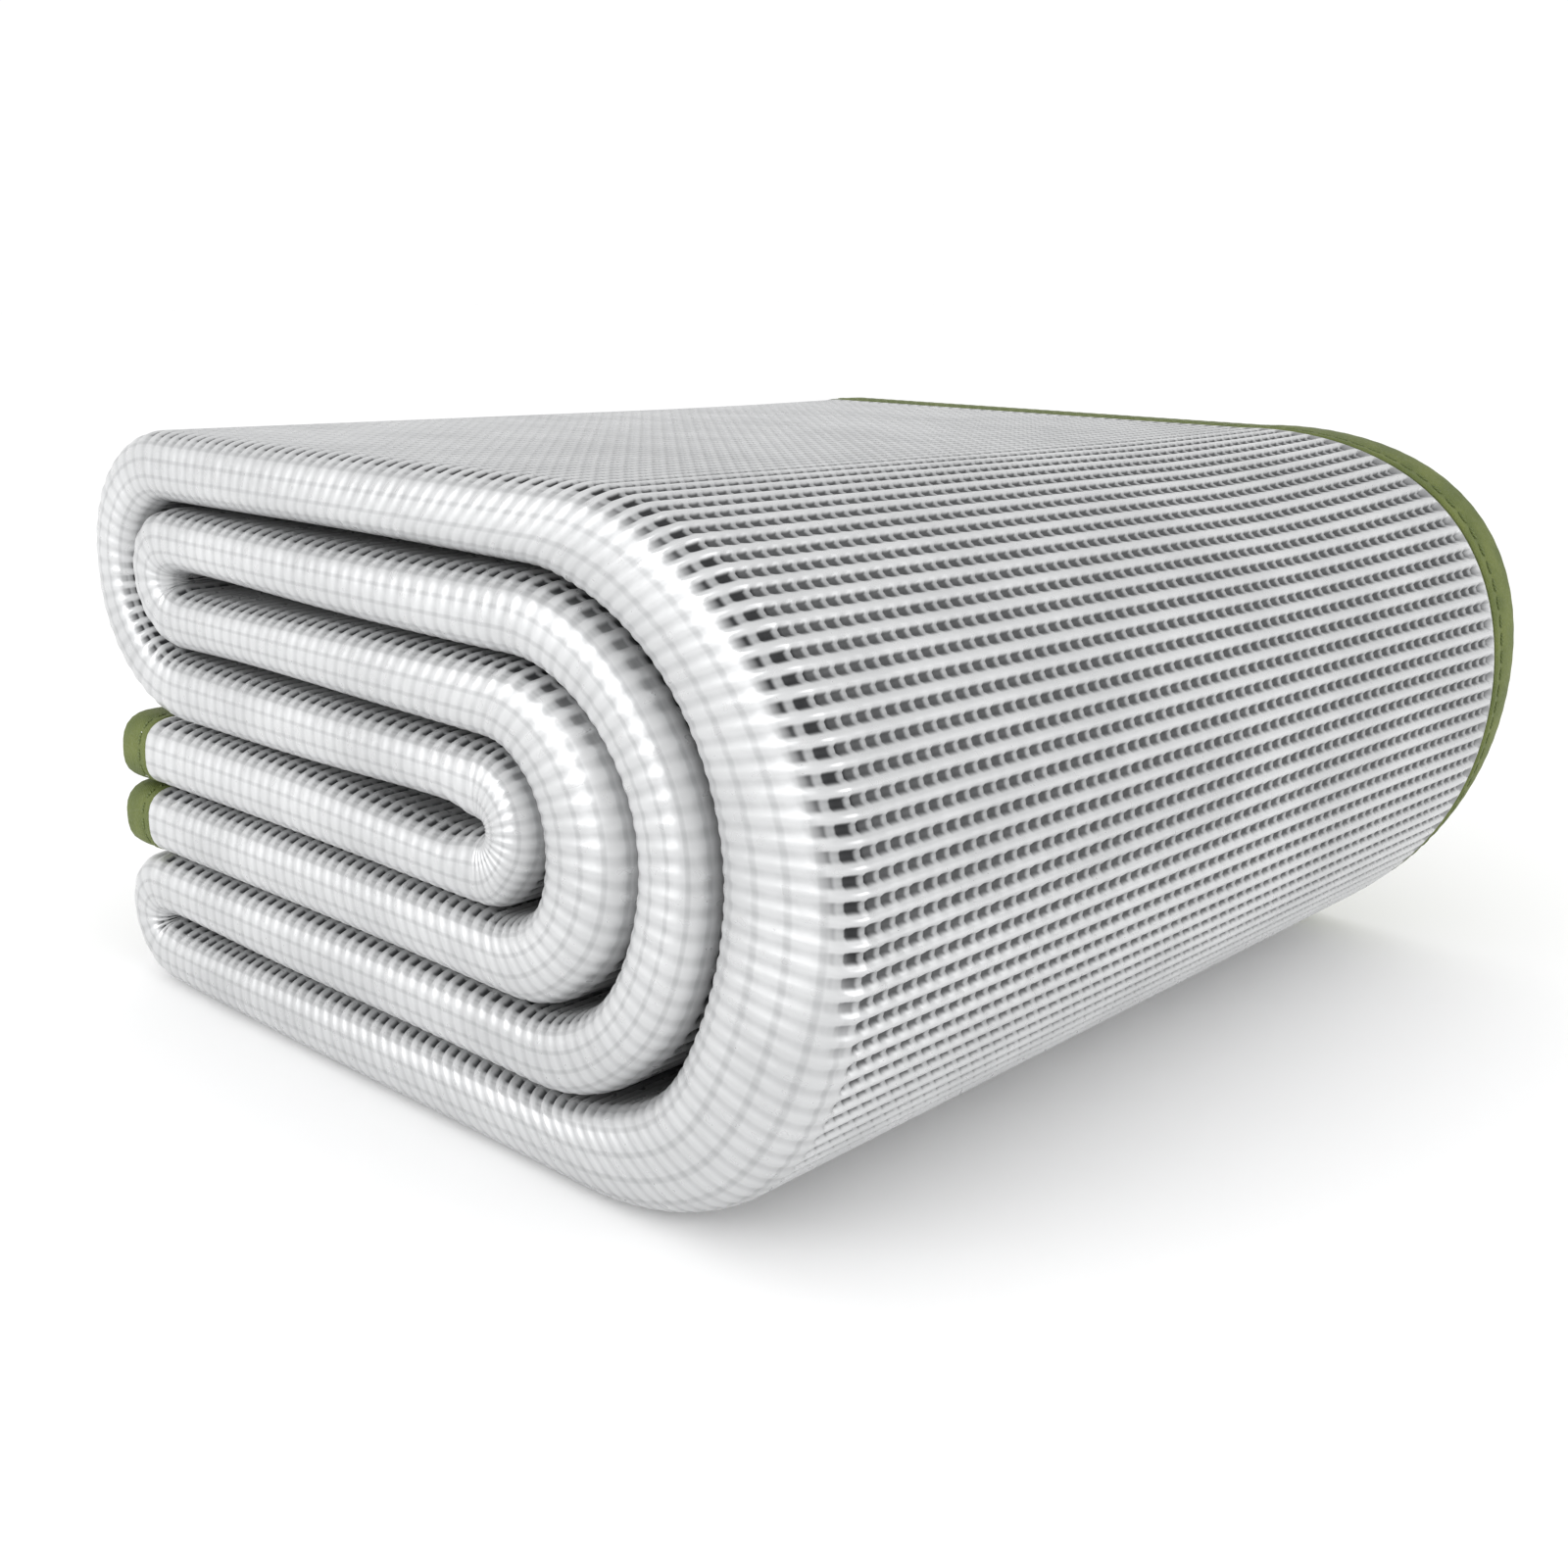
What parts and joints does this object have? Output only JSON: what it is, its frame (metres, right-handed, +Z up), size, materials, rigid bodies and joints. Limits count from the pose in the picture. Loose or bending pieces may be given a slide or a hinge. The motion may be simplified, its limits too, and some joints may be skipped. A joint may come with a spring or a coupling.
{
  "type": "folding foam sleeping pad",
  "caption": "Film-faced foam sleeping pad with taped edges, folded in half three times into a block whose upper half swings open on its fold.",
  "frame": {"origin": "on the surface the folded block stands on, under the middle of its box", "axes": "+Z up through the layers, +X towards the nested turns, +Y towards the bound long edges, -Y towards the crease of every doubled layer"},
  "size_m": [0.246, 0.25, 0.1382],
  "materials": {
    "foam": "closed-cell foam, matte",
    "film": "embossed metallised film, satin",
    "binding_tape": "woven polyester tape",
    "thread": "twisted polyester thread"
  },
  "bodies": {
    "lower_stack": {"base_wrap_foam": "foam", "base_wrap_outer_film": "film", "base_wrap_inner_film": "film", "base_wrap_edge_binding": "binding_tape", "base_wrap_edge_stitching": "thread", "lower_flap_foam": "foam", "lower_flap_outer_film": "film", "lower_flap_inner_film": "film", "lower_flap_edge_binding": "binding_tape", "lower_flap_edge_stitching": "thread", "lower_flap_end_binding": "binding_tape", "lower_flap_end_stitching": "thread", "upper_flap_foam": "foam", "upper_flap_outer_film": "film", "upper_flap_inner_film": "film", "upper_flap_edge_binding": "binding_tape", "upper_flap_edge_stitching": "thread", "upper_flap_end_binding": "binding_tape", "upper_flap_end_stitching": "thread"},
    "fold_spine": {"inner_bend_foam": "foam", "inner_bend_outer_film": "film", "inner_bend_inner_film": "film", "inner_bend_edge_binding": "binding_tape", "inner_bend_edge_stitching": "thread", "second_bend_foam": "foam", "second_bend_outer_film": "film", "second_bend_inner_film": "film", "second_bend_edge_binding": "binding_tape", "second_bend_edge_stitching": "thread", "third_bend_foam": "foam", "third_bend_outer_film": "film", "third_bend_inner_film": "film", "third_bend_edge_binding": "binding_tape", "third_bend_edge_stitching": "thread", "outer_bend_foam": "foam", "outer_bend_outer_film": "film", "outer_bend_inner_film": "film", "outer_bend_edge_binding": "binding_tape", "outer_bend_edge_stitching": "thread"},
    "upper_stack": {"middle_wrap_foam": "foam", "middle_wrap_outer_film": "film", "middle_wrap_inner_film": "film", "middle_wrap_edge_binding": "binding_tape", "middle_wrap_edge_stitching": "thread", "top_wrap_foam": "foam", "top_wrap_outer_film": "film", "top_wrap_inner_film": "film", "top_wrap_edge_binding": "binding_tape", "top_wrap_edge_stitching": "thread"}
  },
  "joints": [
    {"name": "lower_fold", "type": "hinge", "parent": "lower_stack", "child": "fold_spine", "pos_m": [0.0689, 0, 0.0541], "axis": [0, 1, 0], "range_deg": [0, 90], "deforming": ["inner_bend_foam", "inner_bend_outer_film", "inner_bend_inner_film", "inner_bend_edge_binding", "inner_bend_edge_stitching", "second_bend_foam", "second_bend_outer_film", "second_bend_inner_film", "second_bend_edge_binding", "second_bend_edge_stitching", "third_bend_foam", "third_bend_outer_film", "third_bend_inner_film", "third_bend_edge_binding", "third_bend_edge_stitching", "outer_bend_foam", "outer_bend_outer_film", "outer_bend_inner_film", "outer_bend_edge_binding", "outer_bend_edge_stitching"]},
    {"name": "upper_fold", "type": "hinge", "parent": "fold_spine", "child": "upper_stack", "pos_m": [0.0689, 0, 0.0841], "axis": [0, 1, 0], "range_deg": [0, 90]}
  ],
  "couplings": [
    {"joint": "upper_fold", "follows": "lower_fold", "ratio": 1}
  ]
}
